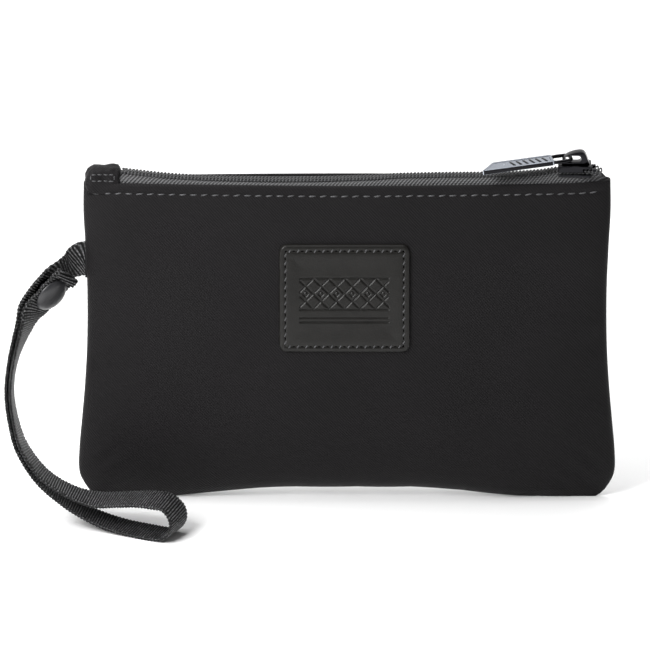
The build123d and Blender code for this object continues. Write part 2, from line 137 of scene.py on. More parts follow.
def vary_roughness(tree, shader, grain_values, low, high, places=None):
    """Let the gloss change a little from place to place."""
    grain = new_node(tree, "TexNoise", grain_values)
    if places:
        tree.links.new(places, grain.inputs["Vector"])
    spread = new_node(tree, "MapRange", {"To Min": low, "To Max": high})
    tree.links.new(grain.outputs["Fac"], spread.inputs["Value"])
    tree.links.new(spread.outputs["Result"], shader.inputs["Roughness"])


floor_paint, floor_tree, floor_shader = finish("pale_sweep", (0.96, 0.96, 0.96), 0.9)
vary_roughness(floor_tree, floor_shader, {"Scale": 3}, 0.88, 0.92)
floor_data.materials.append(floor_paint)


# ---------------------------------------------------------------- nylon shell
# Front and back are each one piece of black nylon twill, sewn together along the sides and the
# bottom and stuffed, so they swell in the middle and stand on their lower corners. The top edge
# of each is turned in over the zipper tape and topstitched.

EDGE_Z = 134.0 * MM
HEM = 9 * MM
FOLD_R = 0.75 * MM
CLOTH = 0.5 * MM
STITCH_Z = 130.6 * MM
STITCH_PITCH = 4.3 * MM
STITCH_SPAN = 100 * MM
ARCH = 4.0 * MM
MOUTH_HALF = 97 * MM
WAVE_HIGH = 0.50
RIPPLE_HIGH = 0.12
PUCKER_HIGH = 0.5
CREASE_HIGH = 0.25
TUG_DEEP = 0.7
# Each row: height, half the width, half the depth, and how square the section is.
SECTIONS = np.array([
    (0.0, 100.0, 0.3, 2.2),
    (1.2, 101.9, 2.2, 2.2),
    (4.0, 104.4, 5.0, 2.3),
    (10.0, 107.3, 8.2, 2.4),
    (19.0, 107.5, 10.5, 2.4),
    (32.0, 106.4, 11.9, 2.4),
    (48.0, 105.0, 12.2, 2.4),
    (66.0, 104.0, 12.0, 2.5),
    (88.0, 103.8, 11.1, 2.7),
    (107.0, 104.4, 9.5, 3.2),
    (122.0, 105.1, 7.8, 3.3),
    (136.0, 104.9, 6.3, 3.4),
])


def ease(value):
    value = np.clip(value, 0, 1)
    return value * value * (3 - 2 * value)


def along_table(table, place):
    """A smooth value between the rows of a table, whose first column is the place."""
    row = int(np.clip(np.searchsorted(table[:, 0], place) - 1, 0, len(table) - 2))
    here, ahead = table[row], table[row + 1]
    before, after = table[max(row - 1, 0)], table[min(row + 2, len(table) - 1)]
    gap = ahead[0] - here[0]
    part = float(np.clip((place - here[0]) / gap, 0, 1))
    leave = (ahead - before) / (ahead[0] - before[0]) * gap
    arrive = (after - here) / (after[0] - here[0]) * gap
    rise = ease(part)
    bend = part * (1 - part)
    return (here * (1 - rise) + ahead * rise + leave * bend * (1 - part) - arrive * bend * part)[1:]


def girth(height):
    """Points round half the section at that height, and the distance along them from the middle."""
    wide, deep, square = along_table(SECTIONS, height / MM)
    turn = np.linspace(0, math.pi, 721)
    x = -np.sign(np.cos(turn)) * np.abs(np.cos(turn)) ** (2 / square) * wide * MM
    y = np.abs(np.sin(turn)) ** (2 / square) * deep * MM
    run = np.concatenate([[0], np.cumsum(np.hypot(np.diff(x), np.diff(y)))])
    return x, y, run - run[-1] / 2


def sheet_from_grid(name, place, uv):
    """A sheet of cloth whose grid point (row, column) lies at place[row][column]."""
    rows, columns = len(place), len(place[0])
    sheet = bmesh.new()
    bmesh.ops.create_grid(sheet, x_segments=columns - 1, y_segments=rows - 1, size=1)
    cloth_map = sheet.loops.layers.uv.new("cloth")
    spots = {}
    for vert in sheet.verts:
        column = round((vert.co.x + 1) / 2 * (columns - 1))
        row = round((vert.co.y + 1) / 2 * (rows - 1))
        spots[vert] = (row, column)
        vert.co = place[row][column]
    for face in sheet.faces:
        face.smooth = True
        for loop in face.loops:
            loop[cloth_map].uv = uv[spots[loop.vert]]
    return sheet


def make_piece(name, mesh, material=None):
    """A new object from a finished bmesh, with its place in its mesh."""
    data = bpy.data.meshes.new(name)
    mesh.to_mesh(data)
    mesh.free()
    piece = bpy.data.objects.new(name, data)
    bpy.context.collection.objects.link(piece)
    if material:
        data.materials.append(material)
    return piece


def give_thickness(piece, thick):
    """Solidify inwards and apply it, so that the mesh is final."""
    wall = piece.modifiers.new("thickness", "SOLIDIFY")
    wall.thickness = thick
    wall.offset = -1
    bpy.context.view_layer.update()
    final = bpy.data.meshes.new_from_object(piece.evaluated_get(bpy.context.evaluated_depsgraph_get()))
    piece.modifiers.clear()
    piece.data = final


def set_bend(piece, share_at):
    """Work out every point's share of the second body's motion from its place; the share is not kept."""
    places = np.empty(len(piece.data.vertices) * 3)
    piece.data.vertices.foreach_get("co", places)
    share = share_at(places.reshape(-1, 3)).astype(np.float32)


def mouth_share(places):
    """Midway along the zipper the front swings fully; at both ends it stays sewn to the back."""
    return np.clip(1 - (places[:, 0] / MOUTH_HALF) ** 2, 0, 1)


def follow_mouth(piece, half):
    """The front half is baked in place and its share of the mouth's motion worked out; the back half is
    attached to the pouch.
    """
    if half == "front":
        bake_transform(piece)
        set_bend(piece, mouth_share)
    else:
        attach(piece, "pouch")


def wrinkles(x, z, side):
    """How far the cloth stands off its smooth shape: slow waves, seam puckers and corner creases."""
    slow = noise.noise(Vector((x * 20, side * 3.1, z * 24))) * WAVE_HIGH
    slow += noise.noise(Vector((x * 55, side * 7.7 + 2, z * 42))) * RIPPLE_HIGH
    near_seam = math.exp(-z / (8 * MM))
    pucker = abs(math.sin(x * 118 + 0.8 * math.sin(x * 47 + side))) ** 0.6 - 0.6
    corner = math.exp(-((abs(x) - 95 * MM) ** 2 + (z - 14 * MM) ** 2) / (12 * MM) ** 2)
    crease = math.sin((abs(x) + z * 1.15) * 520) * corner * CREASE_HIGH
    tug = math.exp(-(((abs(x) - 100 * MM) / (10 * MM)) ** 2) - ((z - 62 * MM - x * 0.05) / (5 * MM)) ** 2)
    fade = ease((EDGE_Z - z) / (12 * MM))
    return (slow * fade + pucker * near_seam * PUCKER_HIGH + crease - tug * TUG_DEEP) * MM


def edge_sag(x, side):
    """How the folded top edge dips and lifts along the mouth."""
    sag = -0.7 * np.exp(-((x / (55 * MM)) ** 2)) if side < 0 else 0.5 * np.exp(-((x / (60 * MM)) ** 2))
    sag = sag + 0.5 * np.exp(-(((x - 105 * MM) / (7 * MM)) ** 2))
    return (sag - 0.7 * np.exp(-(((x + 105 * MM) / (9 * MM)) ** 2))) * MM


def shell_half(side, inset, top, hem, columns, rows, edge_rows):
    """One half of the shell; side is -1 in front and 1 behind, inset is how far inside it lies."""
    body = (np.linspace(0, 1, rows) ** 1.25) * (top - 9 * MM)
    heights = list(body) + list(np.linspace(top - 9 * MM, top, edge_rows)[1:])
    levels = [(height, 0.0) for height in heights]
    if hem:
        for degrees in range(30, 181, 30):
            angle = math.radians(degrees)
            levels.append((top + FOLD_R * math.sin(angle), FOLD_R * (1 - math.cos(angle))))
        levels += [(top - step, 2 * FOLD_R) for step in np.linspace(0, hem, 7)[1:]]
    place = np.zeros((len(levels), columns, 3))
    uv = {}
    climbed = 0.0
    for row, (height, inward) in enumerate(levels):
        level = min(height, top)
        x, y, run = girth(level)
        reach = np.linspace(run[0], run[-1], columns)
        xs, ys = np.interp(reach, run, x), np.interp(reach, run, y)
        arch = ARCH * (1 - ease((np.abs(xs) - 25 * MM) / (52 * MM))) * ease(1 - level / (48 * MM)) ** 1.5
        sag = edge_sag(xs, side) * ease((level - 112 * MM) / (22 * MM))
        lift = inset * ease(1 - level / (8 * MM))
        if row:
            climbed += math.hypot(height - levels[row - 1][0], inward - levels[row - 1][1])
        place[row, :, 0] = xs * (1 - (inward + inset) / (105 * MM))
        place[row, :, 1] = side * (np.maximum(ys - inward - inset, 0.0) + 0.08 * MM)
        place[row, :, 2] = height + arch + sag + lift
        for column in range(columns):
            x, y, z = place[row, column]
            uv[(row, column)] = (-side * reach[column], climbed)
            edge = ease((105 * MM - abs(x)) / (6 * MM))
            out = wrinkles(x, level, side) * edge
            if hem and not inward:
                above = height - STITCH_Z
                beat = 0.5 + 0.5 * math.cos((x + 2 * MM) / STITCH_PITCH * 2 * math.pi)
                pulled = math.exp(-((above / (0.8 * MM)) ** 2)) * (0.26 + 0.16 * beat)
                puffed = math.exp(-(((above - 2.2 * MM) / (1.4 * MM)) ** 2)) * 0.25
                out += (puffed - pulled) * MM * edge
            place[row, column, 1] += side * out * (1.0 if not inward else 0.4)
    return sheet_from_grid("shell", place, uv)


BAND_GAP = 0.314


def bands(tree, places, pitch, values=None, direction="X"):
    """Parallel ribs one pitch apart; at scale 1 they would lie BAND_GAP apart."""
    wave = new_node(tree, "TexWave", {"Scale": BAND_GAP / pitch, **(values or {})}, bands_direction=direction)
    tree.links.new(places, wave.inputs["Vector"])
    return wave.outputs["Fac"]


def bump_from(tree, shader, height, values, under=None):
    """Raise the surface by a pattern, on top of another bump if one is given."""
    bump = new_node(tree, "Bump", values)
    tree.links.new(height, bump.inputs["Height"])
    if under:
        tree.links.new(under, bump.inputs["Normal"])
    tree.links.new(bump.outputs["Normal"], shader.inputs["Normal"])
    return bump.outputs["Normal"]


def tint_between(tree, shader, share, dark, light):
    """Colour the surface between a dark and a light tone by a pattern."""
    shade = new_node(tree, "Mix", data_type="RGBA")
    shade.inputs["A"].default_value = (*dark, 1)
    shade.inputs["B"].default_value = (*light, 1)
    tree.links.new(share, shade.inputs["Factor"])
    tree.links.new(shade.outputs["Result"], shader.inputs["Base Color"])


def turned_places(tree, degrees):
    """The piece's UV places, turned in their plane."""
    turned = new_node(tree, "Mapping", {"Rotation": (0, 0, math.radians(degrees))})
    tree.links.new(places_on(tree, "UV"), turned.inputs["Vector"])
    return turned.outputs["Vector"]


def combine(tree, operation, first, second, third=None):
    """A math node; each operand is a socket or a number."""
    made = new_node(tree, "Math", operation=operation)
    for index, operand in enumerate((first, second, third)):
        if isinstance(operand, (int, float)):
            made.inputs[index].default_value = operand
        elif operand:
            tree.links.new(operand, made.inputs[index])
    return made.outputs["Value"]


def twill(name, color, pitch, sheen, roughness, height, contrast, gloss):
    """Nylon twill: fine diagonal ribs crossed by single yarns, with faint slow changes of tone."""
    material, tree, shader = finish(name, color, roughness, Sheen_Weight=sheen, Sheen_Roughness=0.4,
                                    Specular_IOR_Level=gloss)
    places = turned_places(tree, -42)
    ribs = bands(tree, places, pitch, {"Distortion": 0.8, "Detail Scale": 3})
    yarns = bands(tree, places, pitch * 0.55, direction="Y")
    weave = combine(tree, "MULTIPLY_ADD", yarns, 0.35, ribs)
    bump_from(tree, shader, weave, {"Strength": 0.9, "Distance": height})
    blotch = new_node(tree, "TexNoise", {"Scale": 28, "Detail": 4})
    tree.links.new(places_on(tree, "Object"), blotch.inputs["Vector"])
    halved = combine(tree, "MULTIPLY", blotch.outputs["Fac"], 0.5)
    tint_between(tree, shader, combine(tree, "MULTIPLY_ADD", ribs, contrast, halved),
                 [0.65 * c for c in color], [1.5 * c for c in color])
    return material


shell_cloth = twill("black_nylon_twill", (0.0084, 0.0078, 0.0083), pitch=0.9 * MM, sheen=0.02, roughness=0.5,
                    height=0.10 * MM, contrast=0.72, gloss=0.075)
shell = {}
for half, side in (("front", -1), ("back", 1)):
    cloth = shell_half(side, 0.0, EDGE_Z, HEM, 271, 92, 24)
    if side > 0:
        bmesh.ops.reverse_faces(cloth, faces=cloth.faces)
    panel = make_piece(f"{half}_shell_cloth", cloth, shell_cloth)
    give_thickness(panel, CLOTH)
    shell[half] = BVHTree.FromObject(panel, bpy.context.evaluated_depsgraph_get())
    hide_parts(f"{half}_panel")
    follow_mouth(panel, half)


# ---------------------------------------------------------------- lining
# A thinner plain-woven nylon bag hangs inside the shell, sewn into the same seams and to the tape.

LINING_TOP = 125 * MM
LINING_INSET = 1.7 * MM
LINING_THICK = 0.25 * MM

lining_cloth = twill("plain_lining", (0.014, 0.014, 0.015), pitch=0.6 * MM, sheen=0.05, roughness=0.6,
                     height=0.05 * MM, contrast=0.4, gloss=0.2)
for half, side in (("front", -1), ("back", 1)):
    cloth = shell_half(side, LINING_INSET, LINING_TOP, 0.0, 121, 60, 8)
    if side > 0:
        bmesh.ops.reverse_faces(cloth, faces=cloth.faces)
    lining = make_piece(f"{half}_lining_cloth", cloth, lining_cloth)
    give_thickness(lining, LINING_THICK)
    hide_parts(f"{half}_lining")
    follow_mouth(lining, half)


# ---------------------------------------------------------------- topstitching
# One row of black thread runs along each folded edge. Every stitch is a short arc of thread that
# dives into the cloth at both ends.

THREAD_R = 0.36 * MM
STITCH_LONG = 3.1 * MM
STITCH_TILT = 9
STITCH_START = -1 * MM
THREAD_PLY = 0.35 * MM

thread_black, thread_tree, thread_shader = finish("black_thread", (0.030, 0.030, 0.032), 0.34)
ply = bands(thread_tree, places_on(thread_tree, "Object"), THREAD_PLY, direction="DIAGONAL")
bump_from(thread_tree, thread_shader, ply, {"Distance": 0.05 * MM})
tint_between(thread_tree, thread_shader, ply, (0.012, 0.012, 0.013), (0.095, 0.095, 0.100))


def add_stitch(mesh, middle, along, out, long, round_r):
    """One stitch: a stretched bead of thread, a little bowed away from the cloth; returns its points."""
    across = along.cross(out).normalized()
    turn = Matrix((along, out, across)).transposed().to_4x4()
    bead = bmesh.ops.create_uvsphere(mesh, u_segments=8, v_segments=7, radius=1)["verts"]
    bmesh.ops.rotate(mesh, verts=bead, cent=(0, 0, 0), matrix=Matrix.Rotation(math.radians(90), 3, "Y"))
    bmesh.ops.scale(mesh, verts=bead, vec=(long / 2, round_r, round_r))
    for vert in bead:
        vert.co.y -= round_r * 0.7 * (vert.co.x / (long / 2)) ** 2
    bmesh.ops.transform(mesh, verts=bead, matrix=Matrix.Translation(middle) @ turn)
    return bead


for half, side in (("front", -1), ("back", 1)):
    row = bmesh.new()
    for step in range(int(-STITCH_SPAN / STITCH_PITCH), int(STITCH_SPAN / STITCH_PITCH) + 1):
        x = step * STITCH_PITCH + STITCH_START
        z = STITCH_Z + edge_sag(x, side)
        hit, normal, _, _ = shell[half].ray_cast(Vector((x, side * 0.1, z)), Vector((0, -side, 0)))
        lean = math.radians(STITCH_TILT + 5 * math.sin(step * 2.3))
        along = Vector((math.cos(lean), 0, math.sin(lean)))
        along = (along - normal * along.dot(normal)).normalized()
        add_stitch(row, hit + normal * THREAD_R * 0.45, along, normal, STITCH_LONG, THREAD_R)
    for face in row.faces:
        face.smooth = True
    stitching = make_piece(f"{half}_topstitch_thread", row, thread_black)
    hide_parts(f"{half}_topstitching")
    follow_mouth(stitching, half)


# ---------------------------------------------------------------- zipper tape
# The two woven polyester tapes lie under the coil, slope down to the folded edges and are sewn
# inside them. The closed zipper sags in the middle and turns down to the corner beyond the slider.

# Each row: place along the zipper, and the height of the coil's top there.
COIL_CREST = np.array([
    (-99.0, 139.2), (-91.0, 139.1), (-71.0, 136.9), (-51.0, 135.8), (-20.0, 135.3), (9.0, 136.1),
    (21.0, 136.9), (41.0, 137.3), (61.0, 137.5), (77.0, 138.5), (84.0, 139.6), (97.5, 139.9),
    (100.5, 138.9), (103.5, 136.0),
])
COIL_DEEP = 1.15 * MM
TAPE_FROM = -99 * MM
TAPE_TO = 103.3 * MM
TAPE_LEG = 7 * MM
TAPE_THICK = 0.35 * MM
FOLD_X, FOLD_Y, _ = girth(EDGE_Z)


def crest_at(x):
    return float(along_table(COIL_CREST, x / MM)[0]) * MM


def fold_room(x):
    """How much of the tape's full width there is room for between the folded edges at x."""
    return float(np.clip((np.interp(x, FOLD_X, FOLD_Y) - 1.3 * MM) / (4.8 * MM), 0.1, 1))


def woven(name, dark, light, pitch_x, pitch_y, lean, height, roughness):
    """A woven band: slanting ribs across it, painted light as painted highlight, with the gaps between them
    painted dark as painted shade, in the band's own UV map.
    """
    material, tree, shader = finish(name, light, roughness)
    ribs = bands(tree, turned_places(tree, lean), pitch_x, {"Distortion": 0.5})
    soft = new_node(tree, "MapRange", {"To Min": 0.45})
    tree.links.new(bands(tree, places_on(tree, "UV"), pitch_y, direction="Y"), soft.inputs["Value"])
    weave = combine(tree, "MULTIPLY", ribs, soft.outputs["Result"])
    bump_from(tree, shader, weave, {"Distance": height})
    # The weave pattern paints the ribs light as painted highlight and the gaps between them near-black as
    # painted shade.
    tint_between(tree, shader, weave, dark, light)
    return material


tape_weave_painted_light = woven("zipper_tape_weave_painted_light", (0.004, 0.004, 0.0045), (0.125, 0.125, 0.130),
                   pitch_x=1.15 * MM, pitch_y=0.9 * MM, lean=40, height=0.30 * MM, roughness=0.5)
for half, side in (("front", -1), ("back", 1)):
    columns = 260
    place = np.zeros((13, columns, 3))
    uv = {}
    for column, x in enumerate(np.linspace(TAPE_FROM, TAPE_TO, columns)):
        bed = crest_at(x) - COIL_DEEP
        fold = EDGE_Z + float(edge_sag(x, side))
        split = 1.5 * MM * ease((x - 90 * MM) / (6 * MM))
        profile = [
            (0.15 * MM + split, bed), (1.6 * MM + split, bed), (2.6 * MM + split * 0.6, bed + 0.25 * MM),
            (3.3 * MM + split * 0.4, bed * 0.85 + fold * 0.15 + 0.35 * MM),
            (4.3 * MM, bed * 0.45 + fold * 0.55 + 0.25 * MM),
            (4.8 * MM, fold - 0.2 * MM), (4.85 * MM, fold - 1.6 * MM),
        ]
        profile += [(4.7 * MM, fold - 1.6 * MM - TAPE_LEG * leg / 6) for leg in range(1, 7)]
        run = 0.0
        for row, (out, z) in enumerate(profile):
            if row:
                run += math.hypot(out - profile[row - 1][0], z - profile[row - 1][1])
            place[row, column] = (x, side * out * fold_room(x), z)
            uv[(row, column)] = (x, side * run)
    band = sheet_from_grid("tape", place, uv)
    if side < 0:
        bmesh.ops.reverse_faces(band, faces=band.faces)
    bmesh.ops.subdivide_edges(band, edges=band.edges, cuts=1, smooth=0.6, use_grid_fill=True)
    for face in band.faces:
        face.smooth = True
    tape = make_piece(f"{half}_tape_weave_painted_light", band, tape_weave_painted_light)
    give_thickness(tape, TAPE_THICK)
    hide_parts(f"{half}_zipper_tape")
    follow_mouth(tape, half)


# ---------------------------------------------------------------- zipper coil
# Each row of teeth is one flattened helix of nylon wire, sewn on its tape. The two helices lie
# half a turn apart, so that their heads lock into each other.

COIL_PITCH = 1.4 * MM
COIL_WIRE = 0.33 * MM
COIL_FROM = -90 * MM
COIL_TO = 101.5 * MM
COIL_MIDDLE = 1.25 * MM
COIL_REACH = 1.55 * MM
COIL_STEPS = 12

coil_nylon, coil_tree, coil_shader = finish("coil_nylon", (0.030, 0.030, 0.032), 0.42)
coil_speckle = new_node(coil_tree, "TexNoise", {"Scale": 900})
coil_tree.links.new(places_on(coil_tree, "Object"), coil_speckle.inputs["Vector"])
tint_between(coil_tree, coil_shader, coil_speckle.outputs["Fac"],
             (0.010, 0.010, 0.011), (0.062, 0.062, 0.065))


def tube_along(name, points, radius, sides, cyclic=False):
    """A round wire through points, made a mesh."""
    curve = bpy.data.curves.new(name, "CURVE")
    curve.dimensions = "3D"
    curve.bevel_depth = radius
    curve.bevel_resolution = sides
    curve.use_fill_caps = not cyclic
    line = curve.splines.new("POLY")
    line.points.add(len(points) - 1)
    for point, place in zip(line.points, points):
        point.co = (*place, 1)
    line.use_cyclic_u = cyclic
    wire = bpy.data.objects.new(name, curve)
    bpy.context.collection.objects.link(wire)
    bpy.context.view_layer.update()
    tube = bpy.data.meshes.new_from_object(wire.evaluated_get(bpy.context.evaluated_depsgraph_get()))
    bpy.data.objects.remove(wire)
    bpy.data.curves.remove(curve)
    return tube


for half, side, lag, slant in (("front", -1, 0.0, 0.75 * MM), ("back", 1, 0.35, -0.25 * MM)):
    helix = []
    turns = (COIL_TO - COIL_FROM) / COIL_PITCH
    for step in range(int(turns * COIL_STEPS)):
        turn = step / COIL_STEPS + lag
        x = COIL_FROM + turn * COIL_PITCH
        if x > COIL_TO:
            break
        angle = turn * 2 * math.pi
        split = 1.3 * MM * ease((x - 92 * MM) / (5 * MM))
        out = COIL_MIDDLE + split - COIL_REACH * math.cos(angle)
        high = crest_at(x) - COIL_DEEP / 2 + (COIL_DEEP / 2 - COIL_WIRE) * math.sin(angle)
        helix.append((x + slant * math.cos(angle), side * out, high))
    coil_mesh = tube_along("helix", helix, COIL_WIRE, 1)
    coil = bpy.data.objects.new(f"{half}_coil_teeth", coil_mesh)
    bpy.context.collection.objects.link(coil)
    for face in coil_mesh.polygons:
        face.use_smooth = True
    coil_mesh.materials.append(coil_nylon)
    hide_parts(f"{half}_zipper_coil")
    follow_mouth(coil, half)


# ---------------------------------------------------------------- end tab
# A short strip of shell cloth is folded over the left end of the zipper, tucked behind the folded
# edges and tacked down with a small box of stitches.

TAB_AT = Vector((-97.2, 0, 135.4)) * MM
TAB_SIZE = Vector((14.0, 9.0, 10.4)) * MM
TAB_ROUND = 3.2 * MM
TAB_EDGE = 2.9 * MM
TAB_END = 0.9 * MM
TACK_LONG = 1.9 * MM
TACK_R = 0.26 * MM

tab = bmesh.new()
bmesh.ops.create_cube(tab, size=1)
bmesh.ops.scale(tab, verts=tab.verts, vec=TAB_SIZE)
bmesh.ops.subdivide_edges(tab, edges=tab.edges, cuts=19, use_grid_fill=True)
for vert in tab.verts:
    core = Vector((
        max(-TAB_SIZE.x / 2 + TAB_ROUND, min(TAB_SIZE.x / 2 - TAB_END, vert.co.x)),
        max(-TAB_SIZE.y / 2 + TAB_EDGE, min(TAB_SIZE.y / 2 - TAB_EDGE, vert.co.y)),
        min(TAB_SIZE.z / 2 - TAB_EDGE, vert.co.z),
    ))
    away = vert.co - core
    radii = Vector((TAB_ROUND if away.x < 0 else TAB_END, TAB_EDGE, TAB_EDGE))
    scaled = Vector((away.x / radii.x, away.y / radii.y, away.z / radii.z))
    reach = max(abs(scaled.x), abs(scaled.y), abs(scaled.z))
    if scaled.length > 1e-6 and vert.co.z > -TAB_SIZE.z / 2:
        scaled = scaled.normalized() * reach
    vert.co = core + Vector((scaled.x * radii.x, scaled.y * radii.y, scaled.z * radii.z))
    left = ease((-vert.co.x - 3 * MM) / (5 * MM))
    up = ease((vert.co.z + 2 * MM) / (6 * MM))
    vert.co.z -= left * up * 1.0 * MM
    vert.co.x += ease((vert.co.z - 1 * MM) / (4 * MM)) * left * 0.9 * MM
    lumps = noise.noise(vert.co * 300) * 0.62 + noise.noise(vert.co * 800) * 0.24
    vert.co += vert.co.normalized() * lumps * MM
    vert.co += TAB_AT
for face in tab.faces:
    face.smooth = True
cloth_map = tab.loops.layers.uv.new("cloth")
for face in tab.faces:
    for loop in face.loops:
        loop[cloth_map].uv = (loop.vert.co.x + loop.vert.co.y, loop.vert.co.z)
end_tab = make_piece("end_tab_cloth", tab, shell_cloth)
tab_tree = BVHTree.FromObject(end_tab, bpy.context.evaluated_depsgraph_get())
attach(end_tab, "pouch")
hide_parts("zipper_end_tab")

tack = bmesh.new()
for side in (-1, 1):
    box_stitches = [(x, z, 0) for x in (-100.8, -98.5, -96.2, -93.9) for z in (138.2, 135.6)]
    box_stitches += [(x, 136.9, 90) for x in (-102.0, -92.7)]
    for x, z, lean in box_stitches:
        found = tab_tree.ray_cast(Vector((x * MM, side * 0.1, z * MM)), Vector((0, -side, 0)))
        along = Vector((math.cos(math.radians(lean)), 0, math.sin(math.radians(lean))))
        along = (along - found[1] * along.dot(found[1])).normalized()
        add_stitch(tack, found[0] + found[1] * 0.1 * MM, along, found[1], TACK_LONG, TACK_R)
for face in tack.faces:
    face.smooth = True
tab_thread = make_piece("end_tab_thread", tack, thread_black)
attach(tab_thread, "pouch")


# ---------------------------------------------------------------- slider and stops
# The slider is die-cast zinc in polished black nickel: two plates joined by a post, and an arch
# that holds the pull. The stops are crimped on the tapes in the same finish. Their edges are eased.

dark_nickel, nickel_tree, nickel_shader = finish("black_nickel", (0.018, 0.018, 0.020), 0.16, Metallic=1.0)
vary_roughness(nickel_tree, nickel_shader, {"Scale": 420}, 0.10, 0.30, places_on(nickel_tree, "Object"))
BOTTOM_STOP_AT = -89 * MM


def eased_copy(node, name, radius, material):
    """A copy of a hard part with its sharp edges rounded over."""
    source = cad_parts[node]
    mesh = bmesh.new()
    mesh.from_mesh(source.data)
    bmesh.ops.remove_doubles(mesh, verts=mesh.verts, dist=1e-6)
    bmesh.ops.dissolve_limit(mesh, angle_limit=math.radians(4), verts=mesh.verts, edges=mesh.edges)
    sharp = [edge for edge in mesh.edges if edge.is_manifold and edge.calc_face_angle() > math.radians(35)]
    bmesh.ops.bevel(mesh, geom=sharp, offset=radius, segments=3, profile=0.5, affect="EDGES",
                    clamp_overlap=True, material=-1)
    for face in mesh.faces:
        face.smooth = True
    piece = make_piece(name, mesh, material)
    piece.data.set_sharp_from_angle(angle=math.radians(40))
    return piece


def press_flat(piece, top):
    """Crimp a clip down until nothing of it stands above the given height."""
    low = min(vert.co.z for vert in piece.data.vertices)
    high = max(vert.co.z for vert in piece.data.vertices)
    for vert in piece.data.vertices:
        vert.co.z = low + (vert.co.z - low) * (top - low) / (high - low)


for node, name, body, radius in (
    ("slider_body", "slider_plates", "slider", 0.28 * MM),
    ("slider_crown", "slider_arch", "slider", 0.45 * MM),
    ("top_stops", "top_stop_clips", "pouch", 0.15 * MM),
    ("bottom_stop", "bottom_stop_clip", "pouch", 0.15 * MM),
):
    metal = eased_copy(node, name, radius, dark_nickel)
    if node == "bottom_stop":
        press_flat(metal, crest_at(BOTTOM_STOP_AT) - 0.2 * MM)
    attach(metal, body)
    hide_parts(node)

spring_steel, spring_tree, spring_shader = finish("spring_steel", (0.45, 0.45, 0.46), 0.3, Metallic=1.0)
vary_roughness(spring_tree, spring_shader, {"Scale": 600}, 0.22, 0.4)
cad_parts["slider_lock_spring"].data.materials.clear()
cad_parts["slider_lock_spring"].data.materials.append(spring_steel)


# ---------------------------------------------------------------- pull
# The pull is a flat cast plate on a ring that hangs in the slider's arch. It lies askew, its free
# end cut on the slant, with a sunk field on top that carries plain raised bars.

PULL_PIVOT = Vector((88.5, 0, 143.9)) * MM
PULL_PITCH = math.radians(4.6)
PULL_SKEW = math.radians(10)
PULL_ALONG = Vector((-1, 0, -math.tan(PULL_PITCH))).normalized()
PULL_ALONG.rotate(Matrix.Rotation(PULL_SKEW, 3, "Z"))
PULL_UP = Vector((-math.sin(PULL_SKEW), math.cos(PULL_SKEW), 0)).cross(PULL_ALONG)
PULL_ACROSS = PULL_UP.cross(PULL_ALONG).normalized()
PULL_THICK = 1.7 * MM
PULL_RIM = 0.9 * MM
PULL_SINK = 0.22 * MM
PULL_EDGE = 0.28 * MM
RING_R = 0.75 * MM
PULL_OUTLINE = ((6.8, -4.2), (30.4, -4.2), (36.2, 4.2), (6.8, 4.2))

# The pale bluish grey of the pull's top is a painted reflection of the bright room; the same cast metal takes
# dark nickel elsewhere.
pull_metal, pull_tree, pull_shader = finish("pull_metal", (0.44, 0.47, 0.53), 0.2, Metallic=1.0)
vary_roughness(pull_tree, pull_shader, {"Scale": 350, "Detail": 6}, 0.12, 0.34,
               places_on(pull_tree, "Object"))


def add_slab(mesh, outline, low, high, ease_r, sink=0.0):
    """A flat plate between two heights, with rounded edges and, if asked, a sunk top field."""
    slab = bmesh.new()
    rim = [slab.verts.new((u * MM, v * MM, low)) for u, v in outline]
    base = slab.faces.new(rim)
    raised = bmesh.ops.extrude_face_region(slab, geom=[base])["geom"]
    top = [part for part in raised if isinstance(part, bmesh.types.BMFace)][0]
    bmesh.ops.translate(slab, verts=top.verts, vec=(0, 0, high - low))
    bmesh.ops.recalc_face_normals(slab, faces=slab.faces)
    corners = [edge for edge in slab.edges if abs(edge.verts[0].co.z - edge.verts[1].co.z) > 1e-6]
    bmesh.ops.bevel(slab, geom=corners, offset=ease_r * 2.2, segments=4, profile=0.5, affect="EDGES",
                    material=-1)
    top = max(slab.faces, key=lambda face: face.calc_center_median().z)
    if sink:
        bmesh.ops.inset_region(slab, faces=[top], thickness=PULL_RIM, depth=0)
        inner = max(slab.faces, key=lambda face: (face.calc_center_median().z, face.calc_area()))
        bmesh.ops.inset_region(slab, faces=[inner], thickness=0.12 * MM, depth=-sink)
    rims = [edge for edge in slab.edges if edge.is_manifold and edge.calc_face_angle() > math.radians(50)]
    bmesh.ops.bevel(slab, geom=rims, offset=ease_r, segments=3, profile=0.5, affect="EDGES",
                    clamp_overlap=True, material=-1)
    data = bpy.data.meshes.new("slab")
    slab.to_mesh(data)
    slab.free()
    mesh.from_mesh(data)
    bpy.data.meshes.remove(data)


pull = bmesh.new()
add_slab(pull, PULL_OUTLINE, -PULL_THICK / 2, PULL_THICK / 2, PULL_EDGE, sink=PULL_SINK)
plain_faces = len(pull.faces)
for bar in range(6):
    foot = 10.2 + bar * 2.6
    add_slab(pull, ((foot, -2.1), (foot + 0.9, -2.1), (foot - 0.3, 2.1), (foot - 1.2, 2.1)),
             PULL_THICK / 2 - 0.5 * MM, PULL_THICK / 2 - 0.02 * MM, 0.12 * MM)
ring = []
for degrees in range(0, 360, 12):
    angle = math.radians(degrees)
    u = 3.55 + math.copysign(abs(math.cos(angle)) ** 0.55, math.cos(angle)) * 4.0
    v = math.copysign(abs(math.sin(angle)) ** 0.55, math.sin(angle)) * 3.5
    ring.append((u * MM, v * MM, 0))
ring_mesh = tube_along("ring", ring, RING_R, 3, cyclic=True)
pull.from_mesh(ring_mesh)
pull.faces.ensure_lookup_table()
